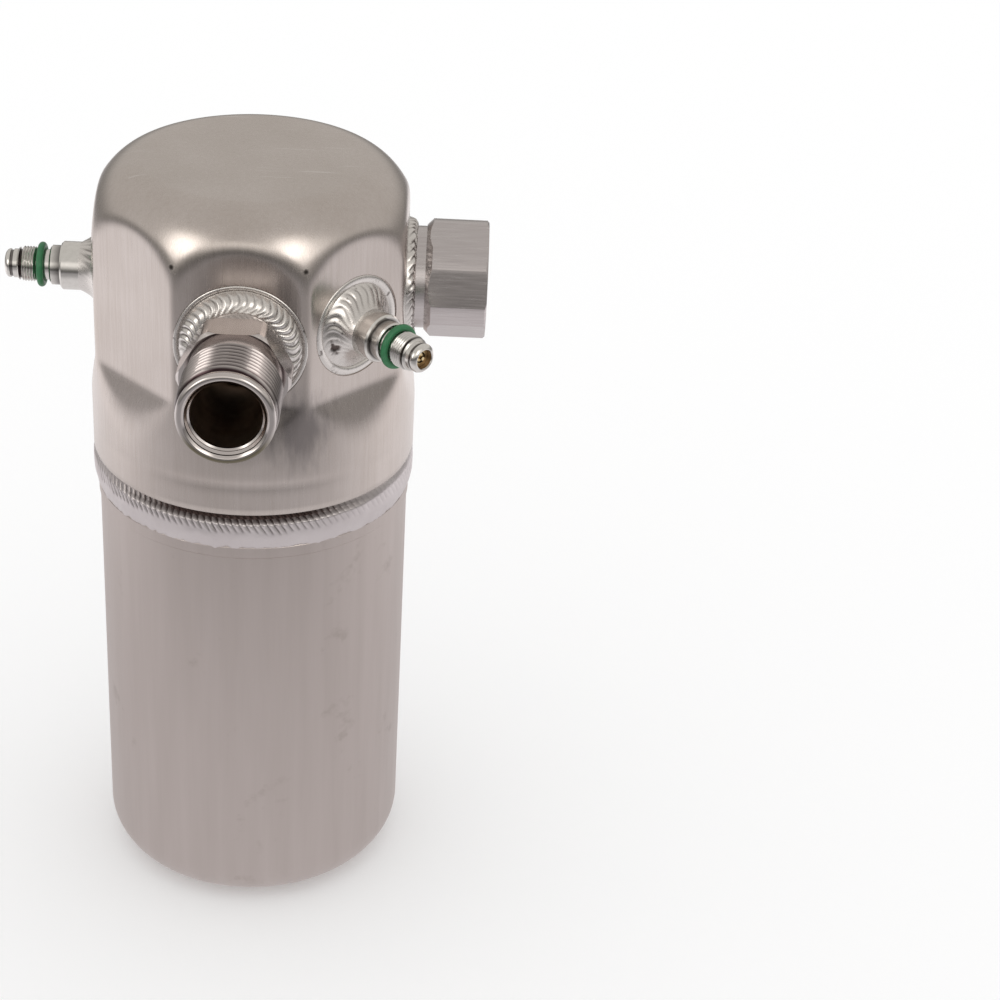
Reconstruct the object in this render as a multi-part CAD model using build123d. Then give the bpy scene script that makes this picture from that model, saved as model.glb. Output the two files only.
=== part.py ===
from build123d import *
import os
from math import cos, sin, radians

# Receiver drier in millimetres. Z runs up the can's axis from the centre of its base.
# The male fitting faces -Y, the hexagon boss +X, the side port -X, and the front port lies between -Y and +X.

# Can and head
can_diameter = 91.2
can_wall = 2.0
can_floor = 3.0
can_corner_radius = 12.6
head_diameter = 93.9
head_height = 88.6
head_wall = 2.4
head_corner_width = 16.0
head_corner_height = 23.0
lip_height = 140.2
lip_rounding = 1.0
lap_length = 14.0
lap_clearance = 0.1
neck_shoulder_length = 3.0

# Pressed flats of the head
flat_count = 8
across_flats = 87.0
ridge_radius = 7.0
crease_above_lip = 33.5
runout_length = 13.0
arch_rounding = 5.0
crease_rounding = 6.0
runout_rounding = 8.0
least_rounding = 0.5

# Girth weld
girth_weld_height = 11.0
girth_weld_bulge = 1.6

# Holes and machined rings in the flats, and how far each fitting stands inside the wall
hole_clearance = 0.1
ring_face_depth = 0.3
large_ring_face_diameter = 36.6
port_ring_face_diameter = 29.6
fitting_inner_reach = 4.0
port_inner_reach = 2.0

# Male fitting, lengths along its axis from the open end
male_above_lip = 51.0
male_projection = 41.7
male_lead_diameter = 24.2
male_lead_length = 2.3
male_thread_diameter = 27.0
male_thread_length = 16.0
male_thread_chamfer = 0.8
male_undercut_diameter = 22.9
male_undercut_length = 3.5
male_hex_across_flats = 27.2
male_hex_corner_diameter = 30.4
male_hex_length = 9.6
male_hex_chamfer = 0.8
male_neck_diameter = 22.9
male_neck_length = 2.6
male_shoulder_diameter = 24.2
male_bore_diameter = 18.8
male_mouth_diameter = 22.0
male_mouth_depth = 1.6
male_edge_chamfer = 0.6
male_weld_top = 4.2
male_weld_foot_diameter = 34.2
male_weld_bulge = 0.6

# Hexagon boss
boss_above_lip = 54.5
boss_projection = 22.8
boss_hex_across_flats = 31.75
boss_hex_corner_diameter = 33.5
boss_hex_length = 17.5
boss_hex_turn = 17.0
boss_inner_chamfer = 1.8
boss_outer_chamfer = 0.5
boss_neck_diameter = 29.0
boss_spigot_diameter = 24.0
boss_thread_hole_diameter = 24.6
boss_thread_depth = 15.0
boss_mouth_diameter = 26.8
boss_mouth_depth = 1.2
boss_bore_diameter = 18.0
boss_weld_top = 2.6
boss_weld_foot_diameter = 34.2
boss_weld_bulge = 0.5

# Service ports, lengths along the axis from the flat outwards
port_above_lip = 53.0
port_spigot_diameter = 9.0
port_projection = 26.9
port_base_diameter = 13.8
port_base_end = 11.0
port_collar_diameter = 11.3
port_collar_end = 14.2
port_neck_diameter = 8.7
port_thread_start = 17.9
port_thread_end = 23.3
port_thread_diameter = 10.0
port_nose_diameter = 8.2
port_nose_chamfer = 1.1
port_edge_chamfer = 0.4
port_weld_top = 5.6
port_weld_foot_diameter = 24.0
port_weld_bulge = -0.8
port_bore_diameter = 5.4
port_seat_depth = 13.6
port_seat_length = 1.0
port_inner_bore_diameter = 3.8

# O-ring of a service port
ring_section = 2.0
ring_clearance = 0.05
ring_offset = 0.65

# Valve core of a service port, depths from the open end
core_clearance = 0.08
core_depth = 1.6
core_head_length = 7.0
core_end_above_seat = 0.2
core_tail_diameter = 4.2
core_pocket_diameter = 3.1
core_pocket_length = 6.0
core_seal_length = 1.6
stem_diameter = 1.0
stem_clearance = 0.06
stem_tip_depth = 0.7
stem_flange_diameter = 2.4
stem_flange_length = 0.6
stem_flange_gap = 0.3
stem_cup_diameter = 3.0
stem_cup_length = 1.2
stem_cup_gap = 0.05
spring_wire = 0.28
spring_turns = 6
spring_end_gap = 0.02

# Pickup tube
tube_diameter = 16.0
tube_wall = 1.2
tube_fit_clearance = 0.05
tube_socket_depth = 9.0
tube_leg_spacing = 40.0
tube_top_bend_radius = 16.0
tube_bottom_bend_radius = 19.5
tube_centre_above_floor = 23.0
tube_open_end_below_plate = 8.0
bleed_hole_diameter = 1.2
vent_hole_diameter = 1.6
vent_hole_below_bend = 26.0

# Oil filter under the U bend
seat_gap = 0.3
filter_diameter = 20.0
filter_base_thickness = 1.5
filter_wall = 1.3
filter_collar_height = 4.0
filter_saddle_rise = 3.0
filter_oil_way_diameter = 8.0
filter_arm_rise = 2.0
filter_arm_thickness = 1.6
filter_arm_width = 7.0
filter_window_count = 4
filter_window_width = 9.0
mesh_thickness = 0.4
mesh_clearance = 0.1

# Desiccant bag and its tie strap
bag_width = 66.0
bag_seam_width = 60.0
bag_seam_thickness = 1.6
bag_seam_length = 6.0
bag_bottom_height = 42.0
bag_length = 98.0
bag_shoulder_length = 18.0
bag_shoulder_rounding = 15.0
strap_height_above_floor = 88.0
strap_width = 5.0
strap_thickness = 1.2
strap_buckle_width = 8.0
strap_buckle_depth = 5.0
strap_buckle_height = 8.0

# Deflector plate
plate_thickness = 1.2
plate_rise = 15.0
plate_flange_width = 3.4
plate_rim_clearance = 0.3
plate_top_diameter = 64.0
plate_slant_thickness = 1.3
plate_drain_count = 6
plate_drain_diameter = 7.0

# Worked out from the sizes above
overall_height = lip_height + head_height
crease_height = lip_height + crease_above_lip
male_height = lip_height + male_above_lip
boss_height = lip_height + boss_above_lip
port_height = lip_height + port_above_lip
flat_distance = across_flats / 2
head_radius = head_diameter / 2
can_radius = can_diameter / 2
skirt_inner_radius = head_radius - head_wall
neck_radius = skirt_inner_radius - lap_clearance
mouth_height = lip_height + lap_length
shoulder_foot = lip_height - girth_weld_height
shoulder_top = shoulder_foot + neck_shoulder_length
ring_face = flat_distance - ring_face_depth
plate_top_height = mouth_height + plate_rise
male_thread_start = male_lead_length
male_undercut_start = male_thread_start + male_thread_length
male_hex_start = male_undercut_start + male_undercut_length
male_hex_end = male_hex_start + male_hex_length
male_neck_end = male_hex_end + male_neck_length
tube_radius = tube_diameter / 2
tube_low_centre = can_floor + tube_centre_above_floor


def upright_cylinder(radius, height):
    """A cylinder standing on the plane that it is placed in."""
    return Cylinder(radius, height, align=(Align.CENTER, Align.CENTER, Align.MIN))


def turned(outline):
    """A turned solid from points of radius and distance along Z, where a repeated point counts once."""
    points = [point for point, before in zip(outline, [None] + outline) if point != before]
    return revolve(Plane.XZ * make_face(Polyline(*points, close=True)), Axis.Z)


def facing(azimuth, height):
    """A place on the can's axis whose Z points out along the azimuth and whose X points up."""
    outward = (cos(radians(azimuth)), sin(radians(azimuth)), 0)
    return Plane(origin=(0, 0, height), x_dir=(0, 0, 1), z_dir=outward).location


male_place = facing(-90, male_height)
boss_place = facing(0, boss_height)
port_places = {"front": facing(-45, port_height), "side": facing(180, port_height)}


def octagon(distance, corner_radius):
    """Outline of the flats with its corners rounded into ridges."""
    outline = RegularPolygon(distance, flat_count, major_radius=False, rotation=180 / flat_count)
    return fillet(outline.vertices(), corner_radius)


def cup_form(inset):
    """The drawn cup before its flats are pressed, moved inwards by inset: a straight wall and an oval corner."""
    radius = head_radius - inset
    top = overall_height - inset
    corner_width = head_corner_width - inset
    corner_height = head_corner_height - inset
    corner = EllipticalCenterArc((radius - corner_width, top - corner_height), corner_width, corner_height)
    walls = Polyline(
        (radius - corner_width, top), (0, top), (0, lip_height), (radius, lip_height), (radius, top - corner_height)
    )
    cup = revolve(Plane.XZ * make_face(Curve() + [corner, walls]), Axis.Z)
    return Rot(0, 0, 180 / flat_count) * cup


def head_form(inset):
    """The head as a filled form, moved inwards by inset: the drawn cup cut by eight pressed flats."""
    slope = (head_radius - flat_distance) / runout_length
    spread = slope * (crease_height - lip_height)
    ridge = max(ridge_radius - inset, least_rounding)
    pressed = Pos(0, 0, crease_height) * octagon(flat_distance - inset, ridge)
    spread_out = Pos(0, 0, lip_height) * octagon(flat_distance - inset + spread, ridge)
    flats = extrude(pressed, overall_height - crease_height)
    return cup_form(inset) & (flats + loft([spread_out, pressed], ruled=True))


def crossing_edges(form, low, high):
    """The edges that two different surfaces make where they cross, between two heights."""
    crossings = form.edges().filter_by(GeomType.BSPLINE)
    return [edge for edge in crossings if low < edge.bounding_box().min.Z and edge.bounding_box().max.Z < high]


def level_edges(form, height):
    """The edges that lie level at one height."""
    return [edge for edge in form.edges()
            if abs(edge.bounding_box().min.Z - height) < 0.01 and edge.bounding_box().size.Z < 0.01]


def rounded_head_form():
    """The outside of the head, with its arches, creases and run-outs softened as a press leaves them."""
    form = head_form(0)
    form = fillet(crossing_edges(form, lip_height, crease_height - least_rounding), runout_rounding)
    form = fillet(level_edges(form, crease_height), crease_rounding)
    arch_foot = overall_height - head_corner_height
    form = fillet(crossing_edges(form, arch_foot, overall_height - least_rounding), arch_rounding)
    return fillet(level_edges(form, lip_height), lip_rounding)


def ring_face_cutter(place, diameter):
    """The cutter that faces a flat round a fitting's hole, so that the fitting and its weld sit square."""
    return place * Pos(0, 0, ring_face) * upright_cylinder(diameter / 2, 2 * head_wall)


head_outside = rounded_head_form()
for large_place in (male_place, boss_place):
    head_outside -= ring_face_cutter(large_place, large_ring_face_diameter)
for port_place in port_places.values():
    head_outside -= ring_face_cutter(port_place, port_ring_face_diameter)


def flat_hole(place, radius):
    """The cutter for a round hole through one flat."""
    return place * Pos(0, 0, flat_distance - 2 * head_wall) * upright_cylinder(radius, 4 * head_wall)


def make_upper_head():
    """One drawn cup with the pressed flats, and a machined ring and a hole in a flat for each fitting."""
    head = head_outside - head_form(head_wall)
    head -= flat_hole(male_place, male_shoulder_diameter / 2 + hole_clearance)
    head -= flat_hole(boss_place, boss_spigot_diameter / 2 + hole_clearance)
    for place in port_places.values():
        head -= flat_hole(place, port_spigot_diameter / 2 + hole_clearance)
    return head


def make_lower_can():
    """One drawn cup with a rounded bottom corner and a neck that slips inside the head."""
    inside = can_radius - can_wall
    neck_inside = neck_radius - can_wall
    outline = make_face(Polyline(
        (0, 0), (can_radius, 0), (can_radius, shoulder_foot), (neck_radius, shoulder_top),
        (neck_radius, mouth_height), (neck_inside, mouth_height), (neck_inside, shoulder_top),
        (inside, shoulder_foot), (inside, can_floor), (0, can_floor), close=True,
    ))
    corner = outline.vertices().sort_by_distance((can_radius, 0))[0]
    outline = fillet(corner, can_corner_radius)
    inner_corner = outline.vertices().sort_by_distance((inside, can_floor))[0]
    outline = fillet(inner_corner, max(can_corner_radius - can_floor, least_rounding))
    return revolve(Plane.XZ * outline, Axis.Z)


def bead_arc(start, end, bulge):
    """A shallow arc that swells by bulge to the right of the way from start to end."""
    way = Vector(*end) - Vector(*start)
    middle = (Vector(*start) + Vector(*end)) / 2 + Vector(way.Y, -way.X) * (bulge / way.length)
    return ThreePointArc(start, middle, end)


def make_girth_weld():
    """The ring of weld metal between the can's wall and the head's lip."""
    foot = (can_radius, shoulder_foot)
    lip = (head_radius - lip_rounding, lip_height)
    inner = Polyline(lip, (neck_radius, lip_height), (neck_radius, shoulder_top), foot)
    profile = make_face(Curve() + [bead_arc(foot, lip, girth_weld_bulge), inner])
    return revolve(Plane.XZ * profile, Axis.Z)


def fitting_weld(place, neck, top, foot_radius, bulge):
    """A bead between a fitting's neck and its flat, which fills the machined ring that it lies in."""
    height = flat_distance + top
    root = flat_distance - head_wall
    skin = bead_arc((foot_radius, ring_face), (neck, height), bulge)
    back = Polyline((neck, height), (neck, root), (foot_radius, root), (foot_radius, ring_face))
    bead = revolve(Plane.XZ * make_face(Curve() + [skin, back]), Axis.Z)
    return place * bead - head_outside


def hexagon(across, corner_diameter, start, end, start_chamfer, end_chamfer, turn):
    """A hexagon bar from start to end, with its corners turned down and both ends chamfered."""
    bar = extrude(Pos(0, 0, start) * RegularPolygon(across / 2, 6, major_radius=False, rotation=turn), end - start)
    corner = corner_diameter / 2
    envelope = turned([
        (0, start), (corner - start_chamfer, start), (corner, start + start_chamfer),
        (corner, end - end_chamfer), (corner - end_chamfer, end), (0, end),
    ])
    return bar & envelope


def make_male_fitting():
    """Turned from hexagon bar: thread, undercut, hexagon, neck and a spigot through the head's wall."""
    face = flat_distance + male_projection
    inner_end = flat_distance - head_wall - fitting_inner_reach
    socket_end = inner_end + tube_socket_depth
    socket = tube_radius + tube_fit_clearance
    bore = male_bore_diameter / 2
    lead = male_lead_diameter / 2
    thread = male_thread_diameter / 2
    thread_chamfer = male_thread_chamfer
    undercut = male_undercut_diameter / 2
    neck = male_neck_diameter / 2
    shoulder = male_shoulder_diameter / 2
    body = turned([
        (socket, inner_end), (shoulder, inner_end),
        (shoulder, face - male_neck_end), (neck, face - male_neck_end),
        (neck, face - male_hex_end), (undercut, face - male_hex_end),
        (undercut, face - male_undercut_start),
        (thread - thread_chamfer, face - male_undercut_start),
        (thread, face - male_undercut_start + thread_chamfer),
        (thread, face - male_thread_start - thread_chamfer),
        (thread - thread_chamfer, face - male_thread_start),
        (lead, face - male_thread_start),
        (lead, face - male_edge_chamfer), (lead - male_edge_chamfer, face),
        (male_mouth_diameter / 2, face), (bore, face - male_mouth_depth),
        (bore, socket_end), (socket, socket_end),
    ])
    nut = hexagon(
        male_hex_across_flats, male_hex_corner_diameter,
        face - male_hex_end, face - male_hex_start, male_hex_chamfer, male_hex_chamfer, 30,
    )
    nut -= Pos(0, 0, inner_end) * upright_cylinder(bore, face - inner_end)
    return male_place * (body + nut)


def make_hex_boss():
    """A hexagon piece with a threaded hole, a round neck on the flat and a spigot through the wall."""
    face = flat_distance + boss_projection
    inner_end = flat_distance - head_wall - fitting_inner_reach
    hex_start = face - boss_hex_length
    neck = boss_neck_diameter / 2
    spigot = boss_spigot_diameter / 2
    bore = boss_bore_diameter / 2
    thread_hole = boss_thread_hole_diameter / 2
    bar = hexagon(
        boss_hex_across_flats, boss_hex_corner_diameter,
        hex_start, face, boss_inner_chamfer, boss_outer_chamfer, boss_hex_turn,
    )
    stem = turned([(0, inner_end), (spigot, inner_end), (spigot, flat_distance),
                   (neck, flat_distance), (neck, hex_start), (0, hex_start)])
    hollow = turned([
        (0, inner_end), (bore, inner_end), (bore, face - boss_thread_depth),
        (thread_hole, face - boss_thread_depth), (thread_hole, face - boss_mouth_depth),
        (boss_mouth_diameter / 2, face), (0, face),
    ])
    return boss_place * (bar + stem - hollow)


def make_port_body():
    """A turned service port: base, collar, O-ring groove, thread and chamfered nose round a valve bore."""
    flat = flat_distance
    face = flat + port_projection
    inner_end = flat - head_wall - port_inner_reach
    spigot = port_spigot_diameter / 2
    base = port_base_diameter / 2
    collar = port_collar_diameter / 2
    neck = port_neck_diameter / 2
    thread = port_thread_diameter / 2
    nose = port_nose_diameter / 2
    edge = port_edge_chamfer
    bore = port_bore_diameter / 2
    inner_bore = port_inner_bore_diameter / 2
    seat = face - port_seat_depth
    return turned([
        (inner_bore, inner_end), (spigot, inner_end), (spigot, flat), (base, flat),
        (base, flat + port_base_end - edge), (base - edge, flat + port_base_end),
        (collar, flat + port_base_end), (collar, flat + port_collar_end - edge),
        (collar - edge, flat + port_collar_end), (neck, flat + port_collar_end),
        (neck, flat + port_thread_start), (thread - edge, flat + port_thread_start),
        (thread, flat + port_thread_start + edge), (thread, flat + port_thread_end - edge),
        (thread - edge, flat + port_thread_end), (nose, flat + port_thread_end),
        (nose, face - port_nose_chamfer), (nose - port_nose_chamfer, face), (bore, face),
        (bore, seat), (inner_bore, seat - port_seat_length),
    ])


def make_o_ring():
    """A round-section ring that sits in the port's groove against the thread's end."""
    section = ring_section / 2
    ring_radius = port_neck_diameter / 2 + ring_clearance + section
    middle = flat_distance + (port_collar_end + port_thread_start) / 2 + ring_offset
    return Pos(0, 0, middle) * Torus(ring_radius, section)


def make_valve_barrel():
    """The brass barrel screwed into the port's nose, with a pocket for the spring and a bore for the stem."""
    face = flat_distance + port_projection
    head = port_bore_diameter / 2 - core_clearance
    tail = core_tail_diameter / 2
    pocket = core_pocket_diameter / 2
    stem_hole = stem_diameter / 2 + stem_clearance
    top = face - core_depth
    tail_end = face - port_seat_depth + core_end_above_seat
    return turned([
        (stem_hole, tail_end), (tail, tail_end), (tail, top - core_head_length),
        (head, top - core_head_length), (head, top), (pocket, top),
        (pocket, top - core_pocket_length), (stem_hole, top - core_pocket_length),
    ])


def make_valve_seal():
    """The soft ring round the barrel's tail that closes on the port's seat."""
    seat = flat_distance + port_projection - port_seat_depth
    inner = core_tail_diameter / 2 + core_clearance
    outer = port_bore_diameter / 2 - core_clearance
    return turned([(inner, seat), (outer, seat), (outer, seat + core_seal_length), (inner, seat + core_seal_length)])


def make_valve_stem():
    """The sprung pin: a tip to press, a flange for the spring and a seal cup that closes the barrel's end."""
    face = flat_distance + port_projection
    pin = stem_diameter / 2
    cup = stem_cup_diameter / 2
    flange = stem_flange_diameter / 2
    cup_top = face - port_seat_depth + core_end_above_seat - stem_cup_gap
    flange_top = face - core_depth - stem_flange_gap
    flange_foot = flange_top - stem_flange_length
    return turned([
        (0, cup_top - stem_cup_length), (cup, cup_top - stem_cup_length), (cup, cup_top), (pin, cup_top),
        (pin, flange_foot), (flange, flange_foot), (flange, flange_top), (pin, flange_top),
        (pin, face - stem_tip_depth), (0, face - stem_tip_depth),
    ])


def make_valve_spring():
    """The coil spring between the barrel's pocket floor and the stem's flange."""
    face = flat_distance + port_projection
    floor = face - core_depth - core_pocket_length + spring_end_gap
    roof = face - core_depth - stem_flange_gap - stem_flange_length - spring_end_gap
    coil_radius = (core_pocket_diameter + stem_diameter) / 4
    height = roof - floor - spring_wire
    coil = Helix(height / spring_turns, height, coil_radius, center=(0, 0, floor + spring_wire / 2))
    return sweep(Plane(origin=coil @ 0, z_dir=coil % 0) * Circle(spring_wire / 2), coil)


def port_pieces(name, place):
    """All the pieces of one service port, by node name."""
    weld = fitting_weld(
        place, port_base_diameter / 2, port_weld_top, port_weld_foot_diameter / 2, port_weld_bulge
    )
    return {
        name + "_port_body": place * make_port_body(),
        name + "_port_weld": weld,
        name + "_port_o_ring": place * make_o_ring(),
        name + "_valve_barrel": place * make_valve_barrel(),
        name + "_valve_seal": place * make_valve_seal(),
        name + "_valve_stem": place * make_valve_stem(),
        name + "_valve_spring": place * make_valve_spring(),
    }


def tube_route():
    """The tube's centre line: in from the male fitting, down, round the U bend and up to the open end."""
    start = flat_distance - head_wall - fitting_inner_reach + tube_socket_depth
    leg = tube_leg_spacing / 2
    open_end = plate_top_height - tube_open_end_below_plate
    return FilletPolyline(
        (0, -start, male_height), (0, -leg, male_height), (0, -leg, tube_low_centre),
        (0, leg, tube_low_centre), (0, leg, open_end),
        radius=[tube_top_bend_radius, tube_bottom_bend_radius, tube_bottom_bend_radius],
    )


def swept_round(route, radius):
    """A solid round bar along a route."""
    return sweep(Plane(origin=route @ 0, z_dir=route % 0) * Circle(radius), route)


def make_pickup_tube():
    """The bent tube, with an oil bleed hole under the U bend and a vent hole high on the fitting's leg."""
    route = tube_route()
    tube = swept_round(route, tube_radius) - swept_round(route, tube_radius - tube_wall)
    bleed = Pos(0, 0, tube_low_centre - tube_diameter) * upright_cylinder(bleed_hole_diameter / 2, tube_diameter)
    vent_height = male_height - tube_top_bend_radius - vent_hole_below_bend
    vent = Pos(0, -tube_leg_spacing / 2, vent_height) * Rot(0, 90, 0) * upright_cylinder(
        vent_hole_diameter / 2, tube_diameter
    )
    return tube - bleed - vent


def make_filter_cage():
    """The moulded cage under the U bend: base, windowed wall, saddle collar and two arms that clip the tube."""
    outer = filter_diameter / 2
    base = can_floor + seat_gap
    tube_foot = tube_low_centre - tube_radius
    collar_foot = tube_foot - filter_collar_height
    wall = Pos(0, 0, base) * upright_cylinder(outer, tube_foot + filter_saddle_rise - base)
    room = Pos(0, 0, base + filter_base_thickness) * upright_cylinder(
        outer - filter_wall, collar_foot - base - filter_base_thickness
    )
    oil_way = Pos(0, 0, collar_foot) * upright_cylinder(filter_oil_way_diameter / 2, tube_diameter)
    cage = wall - room - oil_way
    window_height = collar_foot - base - 2 * filter_base_thickness
    window = Pos(outer, 0, base + filter_base_thickness) * Box(
        filter_diameter / 2, filter_window_width, window_height, align=(Align.CENTER, Align.CENTER, Align.MIN)
    )
    for index in range(filter_window_count):
        cage -= Rot(0, 0, (index + 0.5) * 360 / filter_window_count) * window
    arm_height = tube_radius + filter_arm_rise
    for side in (-1, 1):
        reach = side * (tube_radius + seat_gap + filter_arm_thickness / 2)
        cage += Pos(reach, 0, tube_foot) * Box(
            filter_arm_thickness, filter_arm_width, arm_height, align=(Align.CENTER, Align.CENTER, Align.MIN)
        )
    return cage - swept_round(tube_route(), tube_radius + seat_gap)


def make_filter_mesh():
    """The fine mesh sleeve inside the cage's windows."""
    outer = filter_diameter / 2 - filter_wall - mesh_clearance
    foot = can_floor + seat_gap + filter_base_thickness
    height = tube_low_centre - tube_radius - filter_collar_height - foot
    ring = Circle(outer) - Circle(outer - mesh_thickness)
    return extrude(Pos(0, 0, foot) * ring, height)


bag_thickness = tube_leg_spacing - tube_diameter - 2 * seat_gap


def make_desiccant_bag():
    """A sealed bag of drying beads, full between the tube's legs and pressed flat at both seams."""
    half = bag_thickness / 2
    seam = bag_seam_thickness / 2
    top = bag_bottom_height + bag_length
    low_seam = bag_bottom_height + bag_seam_length
    high_seam = top - bag_seam_length
    low_shoulder = low_seam + bag_shoulder_length
    high_shoulder = high_seam - bag_shoulder_length
    side = make_face(Polyline(
        (-seam, bag_bottom_height), (seam, bag_bottom_height), (seam, low_seam), (half, low_shoulder),
        (half, high_shoulder), (seam, high_seam), (seam, top), (-seam, top), (-seam, high_seam),
        (-half, high_shoulder), (-half, low_shoulder), (-seam, low_seam), close=True,
    ))
    shoulders = [vertex for vertex in side.vertices() if abs(abs(vertex.X) - half) < 0.01]
    side = fillet(shoulders, bag_shoulder_rounding)
    block = extrude(Plane.YZ * side, bag_width / 2, both=True)
    plan = extrude(Pos(0, 0, bag_bottom_height) * SlotOverall(bag_width, bag_thickness), bag_length)
    return block & plan


def make_tie_strap():
    """A flat tie round the bag and both legs, with its buckle on the bag's end."""
    def loop(spare):
        leg = Pos(0, tube_leg_spacing / 2) * Circle(tube_radius + spare)
        other_leg = Pos(0, -tube_leg_spacing / 2) * Circle(tube_radius + spare)
        bag_end = (bag_width - bag_thickness) / 2
        ends = [Pos(side * bag_end, 0) * Circle(bag_thickness / 2 + spare) for side in (-1, 1)]
        edges = (leg + other_leg + ends[0] + ends[1]).edges()
        return make_hull(edges)
    foot = can_floor + strap_height_above_floor
    band = extrude(Pos(0, 0, foot) * (loop(seat_gap + strap_thickness) - loop(seat_gap)), strap_width)
    buckle = Pos(bag_width / 2 + seat_gap, 0, foot + strap_width / 2) * Box(
        strap_buckle_depth, strap_buckle_width, strap_buckle_height, align=(Align.MIN, Align.CENTER, Align.CENTER)
    )
    return band + buckle


def make_deflector_plate():
    """A pressed plate that rests on the can's mouth and roofs the open end of the tube."""
    rim = skirt_inner_radius - plate_rim_clearance
    foot = rim - plate_flange_width
    crown = plate_top_diameter / 2
    low = mouth_height
    high = plate_top_height
    slant = plate_slant_thickness / 2
    plate = turned([
        (0, high), (crown, high), (foot, low), (rim, low), (rim, low + plate_thickness),
        (foot + slant, low + plate_thickness), (crown + slant, high + plate_thickness), (0, high + plate_thickness),
    ])
    plate -= Pos(0, -tube_leg_spacing / 2, high - plate_thickness) * upright_cylinder(
        tube_radius + seat_gap, 3 * plate_thickness
    )
    drain = Pos((crown + foot) / 2, 0, low) * upright_cylinder(plate_drain_diameter / 2, 2 * plate_rise)
    for index in range(plate_drain_count):
        plate -= Rot(0, 0, (index + 0.5) * 360 / plate_drain_count) * drain
    return plate


def make_all():
    """Every piece of the drier, by node name."""
    pieces = {
        "lower_can": make_lower_can(),
        "upper_head": make_upper_head(),
        "girth_weld": make_girth_weld(),
        "male_fitting": make_male_fitting(),
        "male_fitting_weld": fitting_weld(
            male_place, male_shoulder_diameter / 2, male_weld_top, male_weld_foot_diameter / 2, male_weld_bulge
        ),
        "hex_boss": make_hex_boss(),
        "hex_boss_weld": fitting_weld(
            boss_place, boss_neck_diameter / 2, boss_weld_top, boss_weld_foot_diameter / 2, boss_weld_bulge
        ),
        "pickup_tube": make_pickup_tube(),
        "oil_filter_cage": make_filter_cage(),
        "oil_filter_mesh": make_filter_mesh(),
        "desiccant_bag": make_desiccant_bag(),
        "tie_strap": make_tie_strap(),
        "deflector_plate": make_deflector_plate(),
    }
    for name, place in port_places.items():
        pieces.update(port_pieces(name, place))
    return pieces


if __name__ == "__main__":
    os.makedirs("parts", exist_ok=True)
    for node, piece in make_all().items():
        export_step(piece, "parts/" + node + ".step")
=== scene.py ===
from math import atan2, ceil, cos, exp, floor, hypot, log, pi, radians, sin, sqrt, tan, tau

import bpy
from mathutils import Matrix, Vector, noise


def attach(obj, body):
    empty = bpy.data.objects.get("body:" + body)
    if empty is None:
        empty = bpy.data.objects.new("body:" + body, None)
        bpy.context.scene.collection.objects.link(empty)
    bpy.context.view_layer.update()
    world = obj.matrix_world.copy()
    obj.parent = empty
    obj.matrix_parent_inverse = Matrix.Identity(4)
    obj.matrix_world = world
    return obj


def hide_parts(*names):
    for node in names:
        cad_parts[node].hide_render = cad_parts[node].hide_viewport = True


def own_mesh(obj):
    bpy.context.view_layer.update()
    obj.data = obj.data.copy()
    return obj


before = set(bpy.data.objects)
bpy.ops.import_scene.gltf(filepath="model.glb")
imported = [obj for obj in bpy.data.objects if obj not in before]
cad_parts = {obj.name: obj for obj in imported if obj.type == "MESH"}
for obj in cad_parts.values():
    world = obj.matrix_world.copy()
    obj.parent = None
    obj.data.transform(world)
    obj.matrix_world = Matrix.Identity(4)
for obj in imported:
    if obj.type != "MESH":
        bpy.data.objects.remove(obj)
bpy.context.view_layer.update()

# Camera
# The photograph looks down on the drier from its front, a little from the boss's side.
# Its place and turn come from fitting the can, the head and the fittings to the photograph.
mm = 0.001
camera_place = Vector((52.8, -600.7, 469.2)) * mm
camera_yaw = 0.0351
camera_pitch = 0.5236
camera_roll = 0.0605
focal_pixels = 2299.5
image_pixels = 1000
sensor_width = 36

camera_data = bpy.data.cameras.new("camera")
camera_data.sensor_width = sensor_width
camera_data.lens = focal_pixels * sensor_width / image_pixels
camera_data.clip_end = 20
camera = bpy.data.objects.new("camera", camera_data)
bpy.context.scene.collection.objects.link(camera)
turn = Matrix.Rotation(-camera_yaw, 4, "Z") @ Matrix.Rotation(pi / 2 - camera_pitch, 4, "X")
camera.matrix_world = Matrix.Translation(camera_place) @ turn @ Matrix.Rotation(camera_roll, 4, "Z")
bpy.context.scene.camera = camera
bpy.context.scene.view_settings.view_transform = "Standard"


# Floor and light
# A plain white board under the drier, lit by an even white sky all round.
# A room and a sheen on the floor, which only the metal sees, give it what a studio would for its reflections.
def linear(hex_colour):
    """A linear colour from an sRGB hex value."""
    channels = [int(hex_colour[start:start + 2], 16) / 255 for start in (0, 2, 4)]
    return [c / 12.92 if c <= 0.04045 else ((c + 0.055) / 1.055) ** 2.4 for c in channels] + [1]


def add_node(tree, kind, settings=None, **inputs):
    """Adds a shader node. Settings are its own properties. Inputs, by name or by i and number, are values, sockets
    or nodes, and a node feeds in the first of its outputs that is in use."""
    made = tree.nodes.new("ShaderNode" + kind)
    for key, value in (settings or {}).items():
        setattr(made, key, value)
    for key, value in inputs.items():
        socket = made.inputs[int(key[1:]) if key[0] == "i" and key[1:].isdigit() else key.replace("_", " ")]
        if isinstance(value, bpy.types.Node):
            value = next(each for each in value.outputs if each.enabled)
        if isinstance(value, bpy.types.NodeSocket):
            tree.links.new(value, socket)
        else:
            socket.default_value = value
    return made


def new_material(name):
    """An empty node material, its node tree and the place on the piece that its patterns use."""
    material = bpy.data.materials.new(name)
    material.use_nodes = True
    tree = material.node_tree
    tree.nodes.clear()
    return material, tree, add_node(tree, "TexCoord").outputs["Object"]


# Settings that many nodes share.
smooth = {"interpolation_type": "SMOOTHSTEP"}
colours = {"data_type": "RGBA"}
product = {"operation": "MULTIPLY"}

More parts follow.
